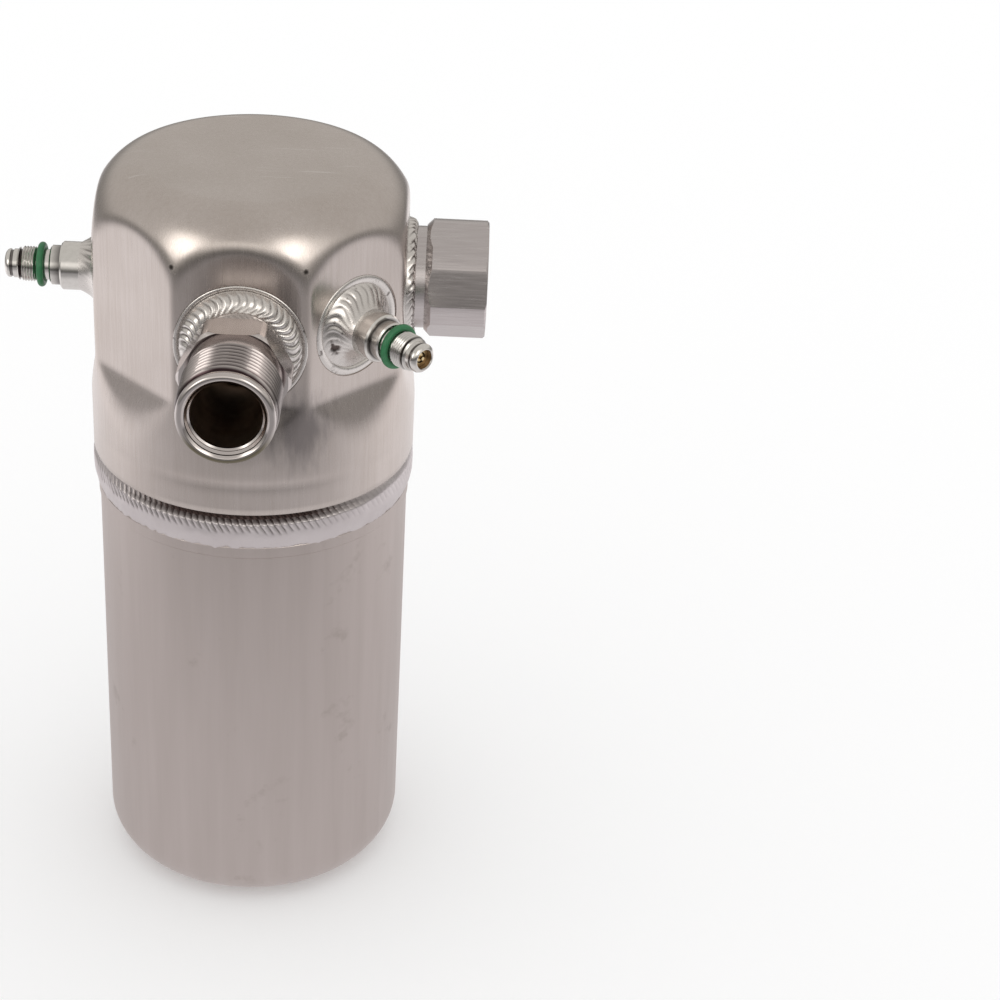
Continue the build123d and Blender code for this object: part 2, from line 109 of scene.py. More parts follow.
# Matt white board. The little light of its own lifts it to pure white, and it still takes a shadow.
floor_material, tree, _ = new_material("matt_white_board")
board = add_node(tree, "BsdfDiffuse", Color=(0.9, 0.9, 0.9, 1))
lift = add_node(tree, "Emission", Color=(1, 1, 1, 1), Strength=0.1)
both = add_node(tree, "AddShader", i0=board, i1=lift)
add_node(tree, "OutputMaterial", Surface=both)
bpy.ops.object.select_all(action="DESELECT")
bpy.ops.mesh.primitive_plane_add(size=8, location=(0, 0, 0))
floor_board = bpy.context.object
floor_board.name = "floor"
floor_board.data.materials.append(floor_material)

world = bpy.data.worlds.new("studio")
bpy.context.scene.world = world
world.use_nodes = True
world.node_tree.nodes["Background"].inputs["Color"].default_value = (1, 1, 1, 1)
world.node_tree.nodes["Background"].inputs["Strength"].default_value = 1.0


def only_in_reflections(board):
    """Keeps a piece of the studio out of all but the metal's reflections."""
    board.visible_camera = False
    board.visible_diffuse = False
    board.visible_shadow = False
    board.visible_transmission = False


def within(tree, angle, centre, half_width, edge):
    """A mask: 1 where an angle is within half_width of centre, fading to 0 over edge. All in degrees but angle."""
    off = add_node(tree, "Math", {"operation": "SUBTRACT"}, i0=angle, i1=radians(centre))
    size = add_node(tree, "Math", {"operation": "ABSOLUTE"}, i0=off)
    return add_node(tree, "MapRange", smooth, Value=size,
                    From_Min=radians(half_width), From_Max=radians(half_width + edge), To_Min=1.0, To_Max=0.0)


# The room as the metal sees it: dark along the horizon and even grey above, with a softbox at each front side and a
# dimmer band between them.
room_radius = 1.45
room_material, tree, place = new_material("room_as_the_metal_sees_it")
toward = add_node(tree, "VectorMath", {"operation": "NORMALIZE"}, i0=place)
along = add_node(tree, "SeparateXYZ", Vector=toward)
frontward = add_node(tree, "Math", product, i0=along.outputs["Y"], i1=-1.0)
azimuth = add_node(tree, "Math", {"operation": "ARCTAN2"}, i0=along.outputs["X"], i1=frontward)
elevation = add_node(tree, "Math", {"operation": "ARCSINE"}, i0=along.outputs["Z"])
ahead = within(tree, azimuth, 0, 25, 30)
horizon = add_node(tree, "MapRange", Value=ahead, To_Min=0.27, To_Max=0.13)
tone = add_node(tree, "MapRange", smooth, Value=elevation, From_Min=radians(4), From_Max=radians(21), To_Min=horizon,
                To_Max=0.63)
for middle, half_width, height_angle, half_height, brightness in (
    (-47, 4, 31, 6, 1.9),
    (33, 4, 36, 6, 1.8),
    (5, 52, 33, 2, 0.42),
):
    across = within(tree, azimuth, middle, half_width, 13)
    upward = within(tree, elevation, height_angle, half_height, 14)
    softbox = add_node(tree, "Math", product, i0=across, i1=upward)
    tone = add_node(tree, "Math", {"operation": "MULTIPLY_ADD"}, i0=softbox, i1=brightness, i2=tone)
shine = add_node(tree, "Emission", Color=linear("fffbf5"), Strength=tone)
add_node(tree, "OutputMaterial", Surface=shine)
bpy.ops.object.select_all(action="DESELECT")
bpy.ops.mesh.primitive_uv_sphere_add(segments=48, ring_count=24, radius=room_radius, location=(0, 0, 0))
room = bpy.context.object
room.name = "room"
room.data.materials.append(room_material)
only_in_reflections(room)

# What the metal sees of the floor: even near the can, brightest out at the sides, dim in front and far away.
sheen_material, tree, place = new_material("floor_as_the_metal_sees_it")
away = add_node(tree, "VectorMath", {"operation": "LENGTH"}, i0=place)
spot = add_node(tree, "SeparateXYZ", Vector=place)
backward = add_node(tree, "Math", {"operation": "DIVIDE"}, i0=spot.outputs["Y"], i1=away)
to_side = add_node(tree, "MapRange", smooth, Value=backward, From_Min=-0.95, From_Max=0.30)
side_tone = add_node(tree, "MapRange", smooth, Value=away, From_Min=0.16, From_Max=0.42, To_Min=0.76, To_Max=1.14)
fall = add_node(tree, "MapRange", smooth, Value=away, From_Min=0.50, From_Max=1.20, To_Min=1.0, To_Max=0.30)
right_dip = add_node(tree, "MapRange", smooth, Value=spot.outputs["X"], From_Min=0.25, From_Max=0.60, To_Min=1.0,
                     To_Max=0.88)
side_fall = add_node(tree, "Math", product, i0=fall, i1=right_dip)
side_light = add_node(tree, "Math", product, i0=side_tone, i1=side_fall)
front_tone = add_node(tree, "MapRange", smooth, Value=away, From_Min=0.16, From_Max=0.42, To_Min=0.75, To_Max=0.40)
front_light = add_node(tree, "Math", product, i0=front_tone, i1=fall)
tone = add_node(tree, "Mix", {"data_type": "FLOAT"}, Factor=to_side, i2=front_light, i3=side_light)
shine = add_node(tree, "Emission", Color=linear("fffbfb"), Strength=tone)
add_node(tree, "OutputMaterial", Surface=shine)
bpy.ops.object.select_all(action="DESELECT")
bpy.ops.mesh.primitive_circle_add(vertices=64, radius=room_radius, fill_type="NGON", location=(0, 0, 0.2 * mm))
floor_sheen = bpy.context.object
floor_sheen.name = "floor_sheen"
floor_sheen.data.materials.append(sheen_material)
only_in_reflections(floor_sheen)

# Lower can
# A cup deep drawn from aluminium sheet, left as drawn: satin, with a fine grain up its wall and faint stains.
# Its neck slips inside the head and is hidden there.
can_radius = 45.6
can_corner = 12.6
can_wall = 2.0
can_wall_top = 129.2
can_shelf = 125.7
shelf_depth = 0.3
neck_radius = 44.45
neck_foot = 132.2
can_mouth = 154.2


def divided(outline, step):
    """The same outline with points added along its straight runs, none further apart than step."""
    points = [outline[0]]
    for before, after in zip(outline, outline[1:]):
        count = max(1, ceil(hypot(after[0] - before[0], after[1] - before[1]) / step))
        for index in range(1, count + 1):
            share = index / count
            points.append((before[0] + (after[0] - before[0]) * share, before[1] + (after[1] - before[1]) * share))
    return points


def arc(centre, width, height, first, last, count):
    """Points on an oval's edge between two angles in degrees."""
    turns = [radians(first + (last - first) * index / count) for index in range(count + 1)]
    return [(centre[0] + width * cos(a), centre[1] + height * sin(a)) for a in turns]


def turned(name, outline, sides, wedges, closed=False):
    """A piece spun round Z from an outline of radius and height, in mm, drawn point by point from one vertex.
    It is spun as one wedge, which is then copied round."""
    bpy.ops.object.select_all(action="DESELECT")
    bpy.ops.mesh.primitive_plane_add(size=mm, location=(0, 0, 0))
    piece = bpy.context.object
    piece.name = name
    bpy.ops.object.mode_set(mode="EDIT")
    bpy.ops.mesh.merge(type="CENTER")
    bpy.ops.transform.translate(value=(outline[0][0] * mm, 0, outline[0][1] * mm))
    for before, point in zip(outline, outline[1:]):
        step = ((point[0] - before[0]) * mm, 0, (point[1] - before[1]) * mm)
        bpy.ops.mesh.extrude_vertices_move(TRANSFORM_OT_translate={"value": step})
    if closed:
        bpy.ops.mesh.select_all(action="DESELECT")
        bpy.ops.object.mode_set(mode="OBJECT")
        for vertex in piece.data.vertices:
            vertex.select = vertex.index in (0, len(outline) - 1)
        bpy.ops.object.mode_set(mode="EDIT")
        bpy.ops.mesh.edge_face_add()
    bpy.ops.mesh.select_all(action="SELECT")
    bpy.ops.mesh.spin(steps=sides // wedges, angle=tau / wedges, center=(0, 0, 0), axis=(0, 0, 1))
    bpy.ops.mesh.select_all(action="SELECT")
    for copy in range(wedges - 1):
        bpy.ops.mesh.duplicate()
        bpy.ops.transform.rotate(value=tau / wedges, orient_axis="Z", center_override=(0, 0, 0))
    bpy.ops.mesh.select_all(action="SELECT")
    bpy.ops.mesh.remove_doubles(threshold=0.005 * mm)
    bpy.ops.mesh.normals_make_consistent(inside=False)
    bpy.ops.object.mode_set(mode="OBJECT")
    return piece


def reshape(piece, move):
    """Moves each vertex of a turned piece to the radius and height that move gives for its radius, angle and height.
    A third value from move, from 0 to 1, says how deep in a groove it lies, for the materials, which paint shade
    there."""
    hollow = piece.data.attributes.new("hollow", "FLOAT", "POINT")
    for vertex in piece.data.vertices:
        x, y, z = vertex.co / mm
        angle = atan2(y, x)
        radius, height, *depth = move(hypot(x, y), angle, z)
        vertex.co = Vector((radius * cos(angle), radius * sin(angle), height)) * mm
        hollow.data[vertex.index].value = depth[0] if depth else 0


def walled(piece, thickness):
    """Gives an open skin its wall, inwards."""
    wall = piece.modifiers.new("wall", "SOLIDIFY")
    wall.thickness = thickness * mm
    wall.offset = -1
    wall.use_even_offset = True
    bpy.context.view_layer.objects.active = piece
    bpy.ops.object.modifier_apply(modifier=wall.name)


def smoothed(piece, sharp_degrees):
    """Shades a piece smooth, apart from edges sharper than the angle given."""
    bpy.ops.object.select_all(action="DESELECT")
    piece.select_set(True)
    bpy.context.view_layer.objects.active = piece
    bpy.ops.object.shade_smooth_by_angle(angle=radians(sharp_degrees))


def ripple(angle, radius, height, size, seed):
    """A smooth random value from -1 to 1 that varies over about size millimetres on a round surface."""
    point = Vector((radius * cos(angle), radius * sin(angle), height)) / size
    return noise.noise(point + Vector((seed, seed, seed)))


can_outline = divided([(0, 0), (can_radius - can_corner, 0)], 6)
can_outline += arc((can_radius - can_corner, can_corner), can_corner, can_corner, -90, 0, 24)[1:]
can_outline += divided([(can_radius, can_corner), (can_radius, can_shelf)], 2)[1:]
can_outline += divided([(can_radius + shelf_depth, can_shelf + 0.4), (can_radius + shelf_depth, can_wall_top)], 1)
can_outline += divided([(can_radius, can_wall_top), (neck_radius, neck_foot), (neck_radius, can_mouth)], 3)[1:]
can = turned("can", can_outline, 256, 4)


def uneven_wall(radius, angle, height):
    """The drawn wall isn't quite true: it wanders by a few hundredths of a millimetre."""
    if radius < can_radius - can_corner or height > can_shelf:
        return radius, height
    wander = 0.10 * ripple(angle, can_radius, height * 0.35, 26, 3)
    wander += 0.03 * ripple(angle, can_radius, height * 0.2, 8, 5)
    return radius + min(0, wander - 0.04), height


reshape(can, uneven_wall)
walled(can, can_wall)
smoothed(can, 30)


def drawn_out(tree, place, sizes, detail, roughness=0.5, turn=0.0):
    """A cloudy pattern drawn out along the axes by sizes in mm, and turned round Z."""
    scaled = add_node(tree, "Mapping", Vector=place, Rotation=(0, 0, turn), Scale=[1 / (size * mm) for size in sizes])
    return add_node(tree, "TexNoise", Vector=scaled, Scale=1.0, Detail=detail, Roughness=roughness)


# Mill-finish aluminium sheet, deep drawn. The die leaves a fine upright grain and a satin shine, handling leaves
# a few dull stains, and it reflects as a broad soft glow.
drawn_can_metal, tree, place = new_material("satin_drawn_aluminium")
grain = drawn_out(tree, place, (0.5, 0.5, 18), 3.0, 0.6)
streak = drawn_out(tree, place, (5, 5, 70), 2.0)
stain = add_node(tree, "TexNoise", Vector=place, Scale=1 / (14 * mm), Detail=4.0, Roughness=0.65)
stain_mask = add_node(tree, "MapRange", smooth, Value=stain, From_Min=0.60, From_Max=0.74, To_Max=0.35)
tones = add_node(tree, "Mix", colours, Factor=streak, i6=linear("beb5b1"), i7=linear("cbc2bf"))
stained = add_node(tree, "Mix", colours, Factor=stain_mask, i6=tones, i7=linear("a0968f"))
dullness = add_node(tree, "MapRange", Value=grain, To_Min=0.36, To_Max=0.50)
grooves = add_node(tree, "Bump", Height=grain, Distance=0.012 * mm, Strength=0.6)
shader = add_node(tree, "BsdfPrincipled", Base_Color=stained, Metallic=1.0, Roughness=dullness, Normal=grooves)
add_node(tree, "OutputMaterial", Surface=shader)
can.data.materials.append(drawn_can_metal)
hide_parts("lower_can")
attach(can, "drier")

# Upper head
# A second drawn cup, with eight flats pressed round its upper wall for the fittings. The press leaves
# arches at the top of each flat, a crease below it and soft ridges between. A cutter faces a ring for each weld.
head_radius = 46.95
head_wall = 2.4
lip_height = 140.2
head_top = 228.8
corner_width = 16.0
corner_height = 23.0
top_disc_radius = head_radius - corner_width
flat_distance = 43.5
ridge_rounding = 2.6
crease_height = 173.7
runout_slope = 0.2654
crease_softness = 0.35
wall_softness = 0.5
arch_softness = 1.3
arch_foot = 207.0
flat_angle = tau / 8
roll_height = 149.7
roll_depth = 0.16
roll_half_width = 1.1
fade_height = 8

head_outline = divided([(head_radius - 1.2, lip_height), (head_radius - 0.35, lip_height + 0.35),
                        (head_radius, lip_height + 1.2)], 0.6)
head_outline += divided([(head_radius, lip_height + 1.2), (head_radius, head_top - corner_height)], 1.2)[1:]
head_outline += arc((top_disc_radius, head_top - corner_height), corner_width, corner_height, 0, 90, 44)[1:]
head_outline += divided([(top_disc_radius, head_top), (0, head_top)], 3)[1:]
head = turned("head", head_outline, 320, 5)


def rounded_octagon(distance, angle):
    """The radius of the eight flats at an angle, with the ridges between them rounded."""
    off_middle = (angle + flat_angle / 2) % flat_angle - flat_angle / 2
    half = flat_angle / 2
    if distance * tan(abs(off_middle)) < (distance - ridge_rounding) * tan(half):
        return distance / cos(off_middle)
    centre = (distance - ridge_rounding) / cos(half)
    off_ridge = half - abs(off_middle)
    return centre * cos(off_ridge) + sqrt(ridge_rounding ** 2 - (centre * sin(off_ridge)) ** 2)


def softer_of(first, second, softness):
    """The smaller of two lengths, blended where they are nearly equal."""
    share = max(softness - abs(first - second), 0) / softness
    return min(first, second) - share * share * softness / 4


def pressed_wall(radius, angle, height):
    """Presses the flats into the drawn cup, and lets the sheet wander a little as a press leaves it."""
    drop = (crease_height - height) / crease_softness
    far_below = drop > 30
    spread = runout_slope * crease_softness * (drop if far_below else log(1 + exp(drop)))
    pressed = rounded_octagon(flat_distance + spread, angle)
    arch_share = min(1, max(0, (height - arch_foot) / fade_height))
    softness = wall_softness + (arch_softness - wall_softness) * arch_share
    if height < crease_height:
        softness = wall_softness + min(1.0, (crease_height - height) / fade_height)
    radius_now = softer_of(radius, pressed, softness) if radius > top_disc_radius else radius
    if height > head_top - 0.01:
        dish = 0.10 * ripple(angle, radius, 0, 30, 7) + 0.02 * ripple(angle, radius, 0, 9, 8)
        return radius_now, height - max(0, 0.06 + dish) * max(0, 1 - (radius / top_disc_radius) ** 2)
    if height < lip_height + 2:
        return radius_now, height
    roll = roll_depth * exp(-((height - roll_height) / roll_half_width) ** 2) * max(0, cos(angle + pi / 2)) ** 2
    wander = 0.05 * ripple(angle, radius, height, 14, 11) + 0.05 * ripple(angle, radius, height * 0.5, 30, 13)
    return radius_now + min(0, wander - 0.02) - roll, height


reshape(head, pressed_wall)
walled(head, head_wall)

male_height = 191.2
boss_height = 194.7
port_height = 193.2
male_turn = -pi / 2
boss_turn = 0
port_turns = {"front": -pi / 4, "side": pi}


def facing(azimuth, height):
    """The place on the can's axis whose Z points out along the azimuth and whose X points up."""
    outward = Vector((cos(azimuth), sin(azimuth), 0))
    upward = Vector((0, 0, 1))
    axes = Matrix((upward, outward.cross(upward), outward)).transposed().to_4x4()
    return Matrix.Translation((0, 0, height * mm)) @ axes


def cut_round(piece, place, diameter, start, sides):
    """Cuts a round recess or hole into a piece, from a distance along the place's Z outwards."""
    bpy.ops.object.select_all(action="DESELECT")
    bpy.ops.mesh.primitive_cylinder_add(vertices=sides, radius=diameter / 2 * mm, depth=20 * mm,
                                        location=(0, 0, (start + 10) * mm))
    cutter = bpy.context.object
    bpy.ops.object.transform_apply(location=True, rotation=True, scale=True)
    cutter.data.transform(place)
    bpy.context.view_layer.objects.active = piece
    cut = piece.modifiers.new("cut", "BOOLEAN")
    cut.operation = "DIFFERENCE"
    cut.solver = "EXACT"
    cut.object = cutter
    bpy.ops.object.modifier_apply(modifier=cut.name)
    bpy.data.objects.remove(cutter)


ring_face = 43.2
hole_start = 38
for place, ring_diameter, hole_diameter in (
    (facing(male_turn, male_height), 36.6, 24.4),
    (facing(boss_turn, boss_height), 36.6, 24.2),
    (facing(port_turns["front"], port_height), 29.6, 9.2),
    (facing(port_turns["side"], port_height), 29.6, 9.2),
):
    cut_round(head, place, ring_diameter, ring_face, 160)
    cut_round(head, place, hole_diameter, hole_start, 96)
smoothed(head, 28)

# The same sheet after pressing, which burnishes it: brighter and tighter reflections than the can's, an upright
# grain, a few fine scratches on top, and cloudy tones from the annealing.
pressed_metal, tree, place = new_material("burnished_pressed_aluminium")
grain = drawn_out(tree, place, (0.4, 0.4, 16), 3.0, 0.6)
cloud = add_node(tree, "TexNoise", Vector=place, Scale=1 / (22 * mm), Detail=3.0)
scratch = drawn_out(tree, place, (30, 1.1, 30), 1.0, turn=0.5)
scratch_line = add_node(tree, "MapRange", Value=scratch, From_Min=0.72, From_Max=0.76, To_Max=0.4)
height_of = add_node(tree, "SeparateXYZ", Vector=place)
on_top = add_node(tree, "Math", {"operation": "GREATER_THAN"}, i0=height_of.outputs["Z"], i1=(head_top - 1.5) * mm)
top_scratch = add_node(tree, "Math", product, i0=scratch_line, i1=on_top)
streak = drawn_out(tree, place, (1.1, 1.1, 26), 4.0, 0.7)
cloud_and_streak = add_node(tree, "Math", {"operation": "ADD"}, i0=cloud, i1=streak)
patchy = add_node(tree, "MapRange", Value=cloud_and_streak, From_Min=0.55, From_Max=1.45)
tones = add_node(tree, "Mix", colours, Factor=patchy, i6=linear("c0b7b1"), i7=linear("d1c9c5"))
# Painted shadow and reflection of the male fitting, with a handling smear, below and beside it: bluish grey, uneven
# and drawn out upright.
smear_shade_x, smear_shade_z = 16.0, 166.6
smear_shade_width, smear_shade_height = 10, 14
smear_shade_place = add_node(tree, "Mapping", Vector=place, Location=(-smear_shade_x / smear_shade_width, 0, -smear_shade_z / smear_shade_height),
                       Scale=(1 / (smear_shade_width * mm), 0, 1 / (smear_shade_height * mm)))
smear_shade_off = add_node(tree, "VectorMath", {"operation": "LENGTH"}, i0=smear_shade_place)
smear_shade_rag = drawn_out(tree, place, (2.5, 2.5, 9), 3.0)
smear_shade_edge = add_node(tree, "Math", {"operation": "ADD"}, i0=smear_shade_off, i1=smear_shade_rag)
smear_and_shade = add_node(tree, "MapRange", smooth, Value=smear_shade_edge, From_Min=0.70, From_Max=1.60, To_Min=0.72, To_Max=0.0)
in_front = add_node(tree, "Math", {"operation": "LESS_THAN"}, i0=height_of.outputs["Y"], i1=-20 * mm)
smear_and_shade_here = add_node(tree, "Math", product, i0=smear_and_shade, i1=in_front)
smeared_and_shaded = add_node(tree, "Mix", colours, Factor=smear_and_shade_here, i6=tones, i7=linear("7d7879"))
marked = add_node(tree, "Mix", colours, Factor=top_scratch, i6=smeared_and_shaded, i7=linear("e8e4e2"))
# Painted shade of a small pit at the top of each front ridge, where the die pinched the sheet.
for ridge_top in ((-18.4, -42.3, 213.4), (17.4, -42.5, 213.9)):
    from_pit = add_node(tree, "VectorMath", {"operation": "DISTANCE"}, i0=place,
                        i1=[value * mm for value in ridge_top])
    pit_shade = add_node(tree, "MapRange", smooth, Value=from_pit, From_Min=0.3 * mm, From_Max=1.0 * mm, To_Min=0.9,
                   To_Max=0.0)
    marked = add_node(tree, "Mix", colours, Factor=pit_shade, i6=marked, i7=linear("2b2522"))
dullness = add_node(tree, "MapRange", Value=grain, To_Min=0.20, To_Max=0.31)
grooves = add_node(tree, "Bump", Height=grain, Distance=0.014 * mm, Strength=0.7)
shader = add_node(tree, "BsdfPrincipled", Base_Color=marked, Metallic=1.0, Roughness=dullness, Normal=grooves)
add_node(tree, "OutputMaterial", Surface=shader)
head.data.materials.append(pressed_metal)
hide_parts("upper_head")
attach(head, "drier")

# Girth weld
# One bead of weld metal run round the joint of can and head. Each pulse of the arc left a slanting ripple
# in its upper half, and the metal wets out smooth and uneven onto the can below.
girth_ripples = 150
girth_foot = 128.9
girth_lip = 140.4
girth_rows = 34
girth_slant = 3.6
girth_ripple_height = 0.62
girth_gap = 1.5


def girth_swell(share):
    """How far the bead stands out of the can's wall, from its foot to the lip."""
    rise = 1.45 * sin(min(1, share / 0.55) * pi / 2) ** 0.8
    return rise if share < 0.80 else rise - 1.0 * ((share - 0.80) / 0.20) ** 1.4


girth_outline = [(can_radius - 1.2, girth_foot - 0.3)]
for share in (index / girth_rows for index in range(girth_rows + 1)):
    girth_outline.append((can_radius + girth_swell(share), girth_foot + (girth_lip - girth_foot) * share))
girth_outline += [(head_radius - 2.3, girth_lip), (neck_radius - 0.3, girth_lip - 3)]
girth_outline += [(neck_radius - 0.3, girth_foot + 2)]
girth_weld = turned("girth_bead", girth_outline, girth_ripples * 8, 15, closed=True)


def girth_bead(radius, angle, height):
    """The bead's slanting ripples, the gap under the lip in front, and its uneven foot, with painted shade in the
    grooves and the gap.
    """
    if radius < can_radius - 0.1:
        return radius, height
    share = (height - girth_foot) / (girth_lip - girth_foot)
    turns = angle / tau * girth_ripples + girth_slant * share
    fade = min(1, max(0.3, 1.9 - (angle + pi / 2) / 0.42)) if angle > -pi / 2 else 1
    strength = fade * (0.9 + 0.5 * noise.noise(Vector((floor(turns) * 0.37, 2.1, 0))))
    start = 0.50 + 0.10 * noise.noise(Vector((floor(turns) * 0.61, 7.7, 0)))
    window = min(1, max(0, (share - start) / 0.12)) * min(1, max(0, (1.02 - share) / 0.12))
    lift = girth_ripple_height * strength * window * (abs(sin(pi * turns)) ** 0.5 - 0.85)
    groove = strength * window * max(0, 1 - abs(sin(pi * turns)) / 0.62)
    in_front = max(0, min(1, 1.7 - abs(angle + pi / 2) / 0.62))
    opening = min(1, max(0, (share - 0.74) / 0.10)) * in_front
    gap = girth_gap * opening * opening * (3 - 2 * opening)
    lumps = 0.12 * ripple(angle, can_radius, height, 3.0, 21) + 0.18 * ripple(angle, can_radius, height, 9, 22)
    foot = 0.75 * ripple(angle, can_radius, 0, 5, 24) + 0.6 * ripple(angle, can_radius, 0, 1.6, 25)
    sink = 0.12 if share < 0.02 else 0
    new_radius = max(neck_radius, radius + lift - gap + lumps * sin(pi * share) - sink)
    # Painted shade: darkest in the gap, and in the grooves more in front than behind.
    return new_radius, height + foot * (1 - share) ** 2, min(1, groove * (0.35 + 0.5 * in_front) + opening)


reshape(girth_weld, girth_bead)
smoothed(girth_weld, 60)

# Aluminium filler metal as it froze: pale and silvery, with a frosted skin, and painted shade in its grooves and in
# the gap under the lip.
bead_metal, tree, place = new_material("frosted_aluminium_weld")
frost = add_node(tree, "TexNoise", Vector=place, Scale=1 / (0.7 * mm), Detail=3.0)
cloud = add_node(tree, "TexNoise", Vector=place, Scale=1 / (9 * mm), Detail=2.0)
tones = add_node(tree, "Mix", colours, Factor=cloud, i6=linear("cec7c8"), i7=linear("dcd7d8"))
hollow = add_node(tree, "Attribute", {"attribute_name": "hollow"})
bead_shaded = add_node(tree, "Mix", colours, Factor=hollow.outputs["Fac"], i6=tones, i7=linear("3d3230"))
dullness = add_node(tree, "MapRange", Value=frost, To_Min=0.30, To_Max=0.48)
skin = add_node(tree, "Bump", Height=frost, Distance=0.05 * mm, Strength=0.5)
shader = add_node(tree, "BsdfPrincipled", Base_Color=bead_shaded, Metallic=1.0, Roughness=dullness, Normal=skin)
add_node(tree, "OutputMaterial", Surface=shader)
girth_weld.data.materials.append(bead_metal)
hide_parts("girth_weld")
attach(girth_weld, "drier")

# Male fitting
# Turned from aluminium hexagon bar: a lead and a thread of 14 to the inch for the line's nut, a seat in its
# mouth, a hexagon to hold it by, and a neck with a shoulder that the weld runs up to.
male_face = 85.2
male_foot = 37.1
thread_pitch = 1.814
thread_depth = 1.05
thread_radius = 13.5
thread_start = male_face - 18.3
thread_end = male_face - 3.5
male_neck = 11.45
male_bore = 9.4
hex_corner = 15.2
hex_start = male_face - 31.4
hex_end = male_face - 21.8
hex_chamfer = 0.8
male_across_flats = 27.2

male_outline = [(12.1, male_foot), (12.1, hex_start - 2.6), (11.85, hex_start - 2.35), (male_neck, hex_start - 2.2),
                (male_neck, hex_start), (12.6, hex_start)]
chamfer = [hex_chamfer * index / 5 for index in range(6)]
male_outline += [(hex_corner - hex_chamfer + rise, hex_start + rise) for rise in chamfer]
male_outline += divided([(hex_corner, hex_start + hex_chamfer), (hex_corner, hex_end - hex_chamfer)], 2.5)[1:]
male_outline += [(hex_corner - rise, hex_end - hex_chamfer + rise) for rise in chamfer[1:]]
male_outline += [(12.6, hex_end), (male_neck, hex_end), (male_neck, thread_start - 0.6)]
male_outline += divided([(male_neck, thread_start - 0.6), (12.4, thread_start - 0.2)], 0.3)[1:]
male_outline += divided([(thread_radius, thread_start), (thread_radius, thread_end)], thread_pitch / 12)
male_outline += [(12.3, thread_end + 0.12), (12.1, thread_end + 0.2), (12.1, thread_end + 0.9)]
male_outline += [(12.5, male_face - 2.35), (12.9, male_face - 2.2), (12.95, male_face - 1.5)]
male_outline += arc((11.75, male_face - 1.1), 1.2, 1.1, 0, 90, 10)
# The mouth, as radius and depth below the face: a rounded lip, then two cones that step down to the bore.
mouth = [(11.45, 0), (11.3, 0.05), (11.15, 0.15), (10.65, 0.65), (10.6, 0.8), (10.6, 1.1), (10.55, 1.2), (10.0, 1.7),
         (9.95, 1.8), (9.95, 2.05), (9.9, 2.1), (9.45, 2.5), (male_bore, 2.9)]
male_outline += [(radius, male_face - depth) for radius, depth in mouth]
male_outline += divided([male_outline[-1], (male_bore, male_foot)], 6)[1:]
male_fitting = turned("turned_male_fitting", male_outline, 192, 3, closed=True)


def hexagon_radius(angle, across, turn):
    """The radius of a hexagon bar at an angle."""
    off_middle = (angle - turn + pi / 6) % (pi / 3) - pi / 6
    return across / 2 / cos(off_middle)


def down_flank(angle, height, pitch):
    """How far a point lies down a thread's flank, from 0 on the crest to 1 at the root."""
    return abs(2 * ((height / pitch + angle / tau) % 1) - 1)


def male_shape(radius, angle, height):
    """Cuts the helical thread and the hexagon's six flats, and gives the thread and the groove before the lead
    painted shade.
    """
    if thread_start - 0.01 <= height <= thread_end + 0.01 and radius > 13:
        share = min(1, max(0, (down_flank(angle, height, thread_pitch) - 0.06) / 0.84))
        end_chamfer = max(0, 1.15 - min(height - thread_start, thread_end - height))
        return thread_radius - max(thread_depth * share, end_chamfer), height, min(1, 0.25 + share * 1.1)
    if thread_end + 0.1 < height < male_face - 2.3 and radius > 12:
        return radius, height, 0.8
    if hex_start - 0.01 <= height <= hex_end + 0.01 and radius > 12.7:
        return min(radius, hexagon_radius(angle, male_across_flats, 0)), height
    return radius, height


reshape(male_fitting, male_shape)


def plain_material(name, light, dark, size, roughness, metallic=0.0, stretch=(1, 1, 1), relief=0.0, detail=3.0):
    """A material of two mottled tones with a fine relief of the same pattern, and painted shade in the hollows.
    Its size and relief are in mm."""
    material, tree, place = new_material(name)
    mottle = drawn_out(tree, place, [size * axis for axis in stretch], detail)
    tones = add_node(tree, "Mix", colours, Factor=mottle, i6=linear(dark), i7=linear(light))
    hollow = add_node(tree, "Attribute", {"attribute_name": "hollow"})
    hollow_shaded = add_node(tree, "Mix", colours, Factor=hollow.outputs["Fac"], i6=tones, i7=linear("3a3331"))
    bump = add_node(tree, "Bump", Height=mottle, Distance=relief * mm, Strength=0.6)
    shader = add_node(tree, "BsdfPrincipled", Base_Color=hollow_shaded, Roughness=roughness, Metallic=metallic, Normal=bump)
    add_node(tree, "OutputMaterial", Surface=shader)
    return material


# Free-cutting aluminium bar turned on a lathe: bright, with fine tool rings round it, and oil with painted shade
# darkening the thread and the groove before the lead.
turned_metal, tree, place = new_material("bright_turned_aluminium")
rings = drawn_out(tree, place, (30, 0.16, 30), 2.0)
cloud = add_node(tree, "TexNoise", Vector=place, Scale=1 / (6 * mm), Detail=2.0)
tones = add_node(tree, "Mix", colours, Factor=cloud, i6=linear("c6bfbd"), i7=linear("d9d3d1"))
hollow = add_node(tree, "Attribute", {"attribute_name": "hollow"})
thread_oil_and_shade = add_node(tree, "Mix", colours, Factor=hollow.outputs["Fac"], i6=tones, i7=linear("382a2c"))
